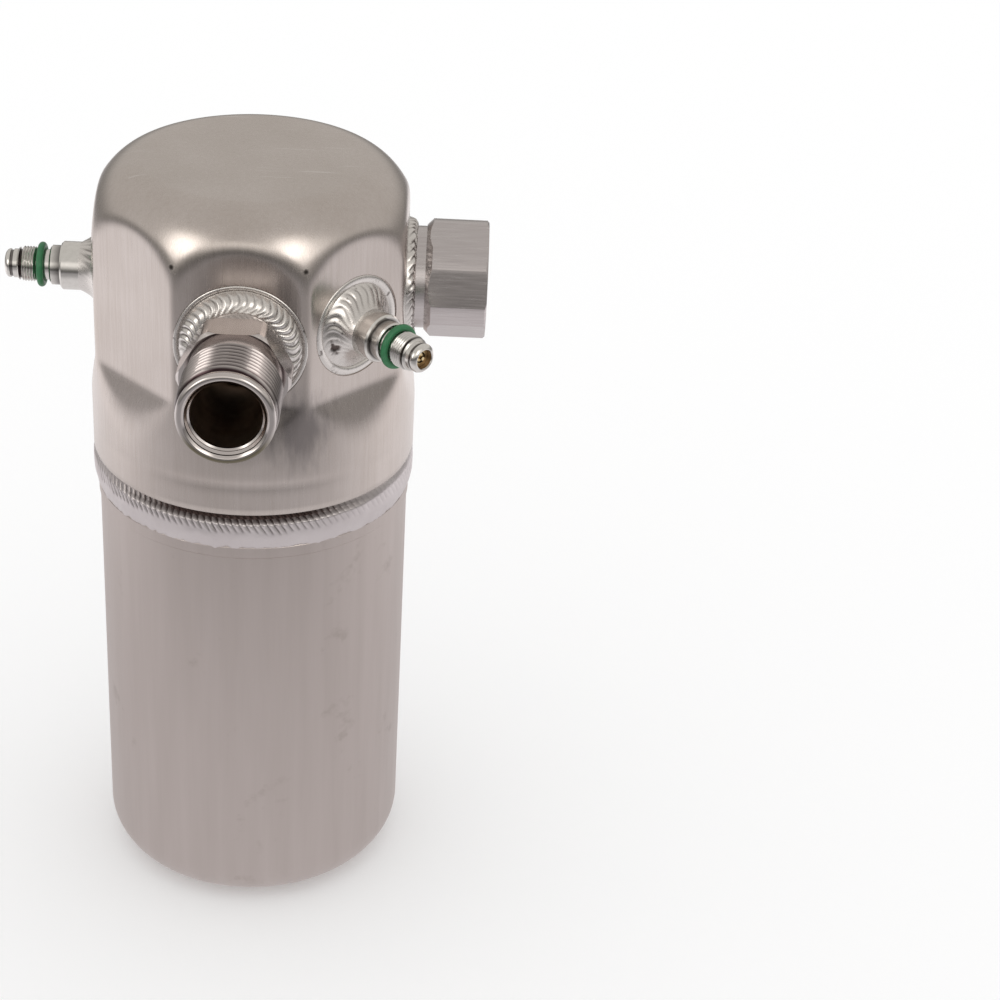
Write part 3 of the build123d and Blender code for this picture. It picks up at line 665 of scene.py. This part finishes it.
# A dark greenish painted reflection on the low side of the rim at the thread's open end.
from_axis = add_node(tree, "Mapping", Vector=place, Location=(0, 0, -male_height * mm), Scale=(1, 0, 1))
off_axis = add_node(tree, "VectorMath", {"operation": "LENGTH"}, i0=from_axis)
on_rim = add_node(tree, "MapRange", Value=off_axis, From_Min=11.3 * mm, From_Max=11.8 * mm)
part = add_node(tree, "SeparateXYZ", Vector=from_axis)
low = add_node(tree, "MapRange", smooth, Value=part.outputs["Z"], From_Min=-9 * mm, From_Max=-2 * mm, To_Min=0.85,
               To_Max=0.0)
along = add_node(tree, "SeparateXYZ", Vector=place)
at_face = add_node(tree, "MapRange", Value=along.outputs["Y"], From_Min=-83.6 * mm, From_Max=-84.2 * mm)
low_rim = add_node(tree, "Math", product, i0=on_rim, i1=low)
rim_reflection = add_node(tree, "Math", product, i0=low_rim, i1=at_face)
rim_reflected = add_node(tree, "Mix", colours, Factor=rim_reflection, i6=thread_oil_and_shade, i7=linear("57502f"))
dullness = add_node(tree, "MapRange", Value=rings, To_Min=0.10, To_Max=0.20)
tool_rings = add_node(tree, "Bump", Height=rings, Distance=0.004 * mm, Strength=0.5)
shader = add_node(tree, "BsdfPrincipled", Base_Color=rim_reflected, Metallic=1.0, Roughness=dullness, Normal=tool_rings)
add_node(tree, "OutputMaterial", Surface=shader)

# The same bar as the drill leaves it: dull, with the oil that protects it, and darker brown as painted shade inside
# the bores.
bore_metal = plain_material("oiled_drilled_aluminium_with_painted_shade", "bfab9a", "94816f", 4, 0.35, 1.0)


def line_bore(piece, radius, last_height):
    """Gives the faces inside a bore, up to a height, the bore's own material."""
    for face in piece.data.polygons:
        x, y, z = face.center / mm
        if hypot(x, y) < radius and z < last_height:
            face.material_index = 1


male_fitting.data.materials.append(turned_metal)
male_fitting.data.materials.append(bore_metal)
line_bore(male_fitting, male_bore + 0.2, male_face - 2.9)
male_fitting.data.transform(facing(male_turn, male_height))
smoothed(male_fitting, 24)
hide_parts("male_fitting")
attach(male_fitting, "drier")

# Male fitting's weld
# A bead of aluminium filler run once round the fitting's shoulder. It froze pulse by pulse, so it lies in
# overlapping crescents inside a smooth rim.


def pulse(turns):
    """One ripple's height over its length, from 0 to 1: a slow rise and a rounder fall."""
    share, crest = turns % 1, 0.68
    return sin(pi / 2 * share / crest) ** 2 if share < crest else cos(pi / 2 * (share - crest) / (1 - crest)) ** 2


def weld_skin(name, place, foot_radius, top, top_radius, swell, ripples, ripple_height, seed, rim,
              roughness=1.0, smooth_below=False):
    """A ring of weld metal between a flat and a fitting, with crescent ripples across it and a smooth rim round it.
    One that is smooth below has been wiped by the torch there, and pitted at one spot where the arc broke off."""
    rows = 18
    foot = ring_face
    outline = [(foot_radius + rim, foot - 0.5)]
    outline += [(foot_radius + rim / 2 + rim / 2 * cos(turn), foot + 0.42 * sin(turn))
                for turn in (pi * index / 10 for index in range(9))]
    run = hypot(top - foot, foot_radius - top_radius)
    for index in range(rows + 1):
        share = index / rows
        out = swell * sin(pi * share)
        outline.append((foot_radius + (top_radius - foot_radius) * share + out * (top - foot) / run,
                        foot + (top - foot) * share + out * (foot_radius - top_radius) / run))
    outline += [(top_radius - 0.5, top - 0.1), (top_radius - 0.5, foot - 0.5)]
    skin = turned(name, outline, ripples * 8, 4, closed=True)

    def crescents(radius, angle, height):
        """Raises the ripples, sinks the pits, lets the foot wander, and gives the troughs and pits painted shade."""
        burnt = 0
        share = (foot_radius - radius) / (foot_radius - top_radius)
        if share < -0.02 or share > 1.0 or height < foot:
            return radius, height
        wander = 0.35 * roughness * ripple(angle, radius, 0, 7, seed + 3)
        turns = angle / tau * ripples - 4.5 * (share - 0.45) ** 2 + wander
        strength = 0.8 + 0.7 * noise.noise(Vector((floor(turns) * 0.41 + seed, 1.7, seed)))
        window = min(1, max(0, share / 0.22)) * min(1, max(0, (1 - share) / 0.22))
        if smooth_below:
            window *= min(1, max(0.08, 0.5 + 1.6 * cos(angle - 0.5)))
            burnt = max(0, 1 - abs(angle - 1.95) / 0.50) * max(0, 1 - abs(share - 0.42) / 0.34)
        rise = pulse(turns)
        lift = ripple_height * strength * window * (rise - 0.35)
        lumps = 0.30 * roughness * ripple(angle, radius, 0, 5, seed + 1) * window
        pits = max(0, ripple(angle, radius, height, 1.1, seed + 4) + 2.3 * burnt - (0.40 if roughness > 1 else 1.0))
        lumps -= 0.5 * min(1, pits)
        spread = 0.12 * ripple(angle, foot_radius, 0, 4, seed + 2) * (1 - share) ** 3
        pocket = min(1, max(0, 1 - rise / 0.25) * window * min(1, strength) + 1.6 * pits)
        return radius + spread + (lift + lumps) * 0.4, height + (lift + lumps) * 0.9, pocket

    reshape(skin, crescents)
    skin.data.transform(place)
    smoothed(skin, 70)
    return skin


# The same filler metal from a finer torch: bright crescents, spots of soot, and painted shade in the troughs and pits
# between them.
fine_bead_metal, tree, place = new_material("bright_aluminium_weld")
frost = add_node(tree, "TexNoise", Vector=place, Scale=1 / (0.5 * mm), Detail=2.0)
soot = add_node(tree, "TexNoise", Vector=place, Scale=1 / (3.2 * mm), Detail=4.0, Roughness=0.6)
soot_mask = add_node(tree, "MapRange", smooth, Value=soot, From_Min=0.60, From_Max=0.72, To_Max=0.8)
hollow = add_node(tree, "Attribute", {"attribute_name": "hollow"})
soot_or_shade = add_node(tree, "Math", {"operation": "MAXIMUM"}, i0=soot_mask, i1=hollow.outputs["Fac"])
sooted_and_shaded = add_node(tree, "Mix", colours, Factor=soot_or_shade, i6=linear("e0dcd9"), i7=linear("5d5451"))
dullness = add_node(tree, "MapRange", Value=frost, To_Min=0.18, To_Max=0.34)
skin_bump = add_node(tree, "Bump", Height=frost, Distance=0.03 * mm, Strength=0.4)
shader = add_node(tree, "BsdfPrincipled", Base_Color=sooted_and_shaded, Metallic=1.0, Roughness=dullness, Normal=skin_bump)
add_node(tree, "OutputMaterial", Surface=shader)


male_weld = weld_skin("male_bead", facing(male_turn, male_height), foot_radius=17.0, top=47.7, top_radius=12.1,
                      swell=0.9, ripples=44, ripple_height=0.40, seed=31, rim=1.2)
male_weld.data.materials.append(fine_bead_metal)
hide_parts("male_fitting_weld")
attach(male_weld, "drier")

# Hexagon boss
# Milled from aluminium hexagon bar, with a turned neck and a threaded hole for the other line.
boss_face = 66.3
boss_foot = 37.1
boss_hex_start = 48.8
boss_corner = 16.75
boss_chamfer = 1.8
boss_across_flats = 31.75
hex_turn = radians(17)
tapped_radius = 12.3
tapped_foot = boss_face - 15.0
tapped_depth = 0.9
flow_radius = 9.0
boss_outline = [(12.0, boss_foot), (12.0, 43.4), (14.5, 43.5), (14.5, boss_hex_start), (14.6, boss_hex_start)]
for rise in (boss_chamfer * index / 9 for index in range(10)):
    boss_outline.append((boss_corner - boss_chamfer + rise, boss_hex_start + rise))
boss_outline += divided([(boss_corner, boss_hex_start + boss_chamfer), (boss_corner, boss_face - 0.5)], 2)[1:]
boss_outline += [(boss_corner - 0.5 * index / 3, boss_face - 0.5 + 0.5 * index / 3) for index in range(1, 4)]
boss_outline += [(13.4, boss_face), (12.5, boss_face - 1.0)]
boss_outline += divided([(tapped_radius, boss_face - 1.2), (tapped_radius, tapped_foot)], thread_pitch / 8)
boss_outline += [(flow_radius, tapped_foot - 0.2), (flow_radius, boss_foot)]
boss = turned("milled_boss", boss_outline, 192, 3, closed=True)


def boss_shape(radius, angle, height):
    """Mills the six flats and taps the hole."""
    if height >= boss_hex_start - 0.01 and radius > 14.9:
        return min(radius, hexagon_radius(angle, boss_across_flats, hex_turn)), height
    if abs(radius - tapped_radius) < 0.1 and height > tapped_foot - 0.01:
        run_in = min(1, (height - tapped_foot) / 1.5)
        return tapped_radius + tapped_depth * down_flank(angle, height, thread_pitch) * run_in, height
    return radius, height


reshape(boss, boss_shape)

# Aluminium hexagon bar with milled flats: satin, with a fine grain along the bar.
milled_metal, tree, place = new_material("satin_milled_aluminium")
grain = drawn_out(tree, place, (9, 0.5, 0.5), 3.0)
tones = add_node(tree, "Mix", colours, Factor=grain, i6=linear("bab3b3"), i7=linear("d6d1d1"))
dullness = add_node(tree, "MapRange", Value=grain, To_Min=0.18, To_Max=0.32)
grooves = add_node(tree, "Bump", Height=grain, Distance=0.012 * mm, Strength=0.6)
shader = add_node(tree, "BsdfPrincipled", Base_Color=tones, Metallic=1.0, Roughness=dullness, Normal=grooves)
add_node(tree, "OutputMaterial", Surface=shader)
boss.data.materials.append(milled_metal)
boss.data.transform(facing(boss_turn, boss_height))
smoothed(boss, 12)
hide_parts("hex_boss")
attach(boss, "drier")

# Boss's weld
# The same filler as the male fitting's, laid rougher round the boss's neck, with pits all over it.
boss_weld = weld_skin("boss_bead", facing(boss_turn, boss_height), foot_radius=17.0, top=46.1, top_radius=14.5,
                      swell=0.8, ripples=40, ripple_height=0.40, seed=43, rim=1.2, roughness=2.2)
boss_weld.data.materials.append(fine_bead_metal)
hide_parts("hex_boss_weld")
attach(boss_weld, "drier")

# Service ports
# Two small turned fittings with a collar, a groove for the sealing ring, a thread and a chamfered nose,
# each bored for its valve core and welded to its flat.
port_face = 70.4
port_foot = 39.1
port_pitch = 0.8
port_thread_radius = 5.0
port_thread_start = 61.42
port_thread_end = 66.8
port_groove = 65.9
port_collar_radius = 6.9
port_collar_end = 54.5
port_bore = 2.7
port_weld_seeds = {"front": 51, "side": 57}
port_outline = [
    (4.5, port_foot), (4.5, 43.5), (port_collar_radius, 43.55), (port_collar_radius, 54.0), (6.5, port_collar_end),
    (5.65, 54.55), (5.65, 57.2), (5.25, 57.6), (4.4, 57.7), (4.35, 57.8), (4.35, 61.3),
]
port_outline += divided([(port_thread_radius, port_thread_start), (port_thread_radius, port_thread_end)],
                        port_pitch / 10)
# The nose, as radius and depth below the face: a groove, then a rounded end.
nose = [(4.1, 3.5), (4.1, 2.4), (3.75, 2.25), (3.75, 1.65), (4.1, 1.5), (4.1, 1.1), (3.9, 0.65), (3.45, 0.2),
        (3.0, 0), (2.8, 0.05), (port_bore, 0.2)]
port_outline += [(radius, port_face - depth) for radius, depth in nose]
port_outline += [(port_bore, 56.8), (1.9, 55.8), (1.9, port_foot)]


def port_shape(radius, angle, height):
    """Cuts the port's fine thread and the groove across it, and gives the grooves and the hollow behind the collar
    painted shade.
    """
    if port_thread_start - 0.02 < height < port_thread_end + 0.05 and radius > 4.9:
        cut = 0.34 * min(1, max(0, (down_flank(angle, height, port_pitch) - 0.1) / 0.8))
        end_chamfer = max(0, 0.7 - min(height - port_thread_start, port_thread_end - height))
        groove = min(1, max(0, 1.6 - abs(height - port_groove) / 0.35))
        return port_thread_radius - max(cut, end_chamfer, groove), height, max(groove, 0.9 * cut)
    in_nose_groove = 1.6 < port_face - height < 2.3 and radius > 3
    behind_collar = port_collar_end < height < port_collar_end + 1.5 and 3 < radius < 5.8
    return radius, height, 0.8 if in_nose_groove or behind_collar else 0


# The ports' bar is turned with a duller tool than the male fitting's: paler and satin.
port_metal = plain_material("satin_turned_aluminium", "eceae7", "d8d5d1", 1.4, 0.17, 1.0, relief=0.004)

# Nitrile rubber in the green that marks the new refrigerant's seals: a soft even sheen.
ring_rubber = plain_material("green_nitrile_rubber", "2f7a4c", "1d6038", 1.5, 0.42, detail=2.0)

for name, azimuth in port_turns.items():
    place = facing(azimuth, port_height)
    port = turned(name + "_turned_port", port_outline, 96, 2, closed=True)
    reshape(port, port_shape)
    port.data.materials.append(port_metal)
    port.data.materials.append(bore_metal)
    line_bore(port, port_bore + 0.05, port_face - 0.9)
    port.data.transform(place)
    smoothed(port, 26)
    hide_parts(name + "_port_body")
    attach(port, "drier")

    port_weld = weld_skin(name + "_port_bead", place, foot_radius=12.2, top=49.1, top_radius=port_collar_radius,
                          swell=-0.8, ripples=26, ripple_height=0.28, seed=port_weld_seeds[name], rim=2.4,
                          smooth_below=True)
    port_weld.data.materials.append(fine_bead_metal)
    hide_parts(name + "_port_weld")
    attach(port_weld, "drier")

    seal_outline = arc((5.4, 60.2), 1.0, 1.0, -180, 156, 14)
    seal = turned(name + "_sealing_ring", seal_outline, 64, 1, closed=True)
    seal.data.transform(place)
    smoothed(seal, 60)
    seal.data.materials.append(ring_rubber)
    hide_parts(name + "_port_o_ring")
    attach(seal, "drier")

# Valve cores
# One in each port: a brass barrel screwed in, a white seal round it and a sprung brass pin.
# They keep the CAD's shapes, which are right, and take their materials here.


def dress(material, *names):
    """Gives CAD nodes a material."""
    for name in names:
        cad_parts[name].material_slots[0].material = material


# Free-cutting brass: warm yellow, bright where it was turned, a little dull from handling.
barrel_brass = plain_material("turned_brass", "cbb68e", "a8946c", 1.2, 0.26, 1.0, relief=0.004)
# The pin's brass is polished brighter, because the gauge's depressor rubs it.
pin_brass = plain_material("rubbed_brass", "e2cfa6", "c9b487", 0.8, 0.18, 1.0, relief=0.002)
# White fluoropolymer: waxy and nearly featureless.
seal_white = plain_material("white_fluoropolymer", "ecebe6", "dddcd5", 0.6, 0.48)
for side in port_turns:
    dress(barrel_brass, side + "_valve_barrel")
    dress(pin_brass, side + "_valve_stem")
    dress(seal_white, side + "_valve_seal")

# Valve springs
# One round each pin, between the barrel's pocket and the pin's flange: spring wire wound into six turns.
# In use it shortens as the pin is pressed in; this one is wound at one length.
wire_thickness = 0.28
coil_radius = 1.025
coil_turns = 6
coil_foot = 62.82
coil_top = 67.88
coil_pitch = (coil_top - coil_foot - wire_thickness) / coil_turns
# Cold-drawn spring wire: grey, with the die's bright streaks.
wire_steel = plain_material("drawn_spring_wire", "a3a3a5", "77787a", 0.4, 0.28, 1.0, relief=0.003)
for side, azimuth in port_turns.items():
    place = facing(azimuth, port_height)
    bpy.ops.object.select_all(action="DESELECT")
    bpy.ops.mesh.primitive_circle_add(vertices=12, radius=wire_thickness / 2 * mm, rotation=(pi / 2, 0, 0),
                                      location=(coil_radius * mm, 0, (coil_foot + wire_thickness / 2) * mm))
    spring = bpy.context.object
    spring.name = side + "_wound_spring"
    bpy.ops.object.transform_apply(location=True, rotation=True, scale=True)
    coil = spring.modifiers.new("coil", "SCREW")
    coil.axis = "Z"
    coil.steps = coil.render_steps = 28
    coil.iterations = coil_turns
    coil.screw_offset = coil_pitch * mm
    bpy.ops.object.modifier_apply(modifier=coil.name)
    bpy.ops.object.mode_set(mode="EDIT")
    bpy.ops.mesh.select_all(action="SELECT")
    bpy.ops.mesh.fill_holes(sides=0)
    bpy.ops.mesh.select_all(action="SELECT")
    bpy.ops.mesh.normals_make_consistent(inside=False)
    bpy.ops.object.mode_set(mode="OBJECT")
    spring.data.transform(place)
    smoothed(spring, 50)
    spring.data.materials.append(wire_steel)
    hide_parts(side + "_valve_spring")
    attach(spring, "drier")
    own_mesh(spring)

# Pickup tube and deflector
# Inside the vessel a bent aluminium tube draws vapour from under the head, behind a pressed aluminium plate that
# keeps liquid out of it. Both keep the CAD's shapes.
# Drawn aluminium tube: satin, with faint lines along its length.
tube_metal = plain_material("drawn_aluminium_tube", "cdc9c6", "b3aeab", 0.7, 0.34, 1.0, (1, 1, 20), 0.008)
# Stamped aluminium sheet: flatter and duller than the tube.
plate_metal = plain_material("stamped_aluminium_sheet", "c4c0bd", "aaa6a3", 2.5, 0.42, 1.0, relief=0.006)
dress(tube_metal, "pickup_tube")
dress(plate_metal, "deflector_plate")

# Oil filter
# At the tube's low bend a moulded cage holds a fine screen over the hole that picks up oil.
# Glass-filled nylon in black: a dull grainy moulding.
cage_nylon = plain_material("black_glass_filled_nylon", "26262a", "131315", 0.35, 0.50, relief=0.02)
dress(cage_nylon, "oil_filter_cage")

# Woven nylon screen: pale threads over dark gaps, twenty to the centimetre.
screen, tree, place = new_material("woven_nylon_screen")
upright = add_node(tree, "TexWave", {"bands_direction": "Z"}, Vector=place, Scale=1 / (3.2 * mm))
across = add_node(tree, "TexWave", {"bands_direction": "X"}, Vector=place, Scale=1 / (3.2 * mm))
threads = add_node(tree, "Math", {"operation": "MAXIMUM"}, i0=upright.outputs["Fac"], i1=across.outputs["Fac"])
tones = add_node(tree, "Mix", colours, Factor=threads, i6=linear("4c4b46"), i7=linear("dddcd2"))
raised = add_node(tree, "Bump", Height=threads, Distance=0.08 * mm, Strength=0.8)
shader = add_node(tree, "BsdfPrincipled", Base_Color=tones, Roughness=0.6, Normal=raised)
add_node(tree, "OutputMaterial", Surface=shader)
dress(screen, "oil_filter_mesh")

# Desiccant bag
# A felt bag of drying beads, held against the tube by a moulded strap. It is sealed inside the vessel.
# Needled polyester felt: off-white, woolly and without shine.
bag_felt = plain_material("needled_polyester_felt", "e6e3d9", "cfcbbf", 0.8, 0.92, relief=0.25)
# Natural nylon: milky and a little glossy.
strap_nylon = plain_material("natural_nylon", "e9e7df", "d8d5ca", 3.0, 0.38)
dress(bag_felt, "desiccant_bag")
dress(strap_nylon, "tie_strap")
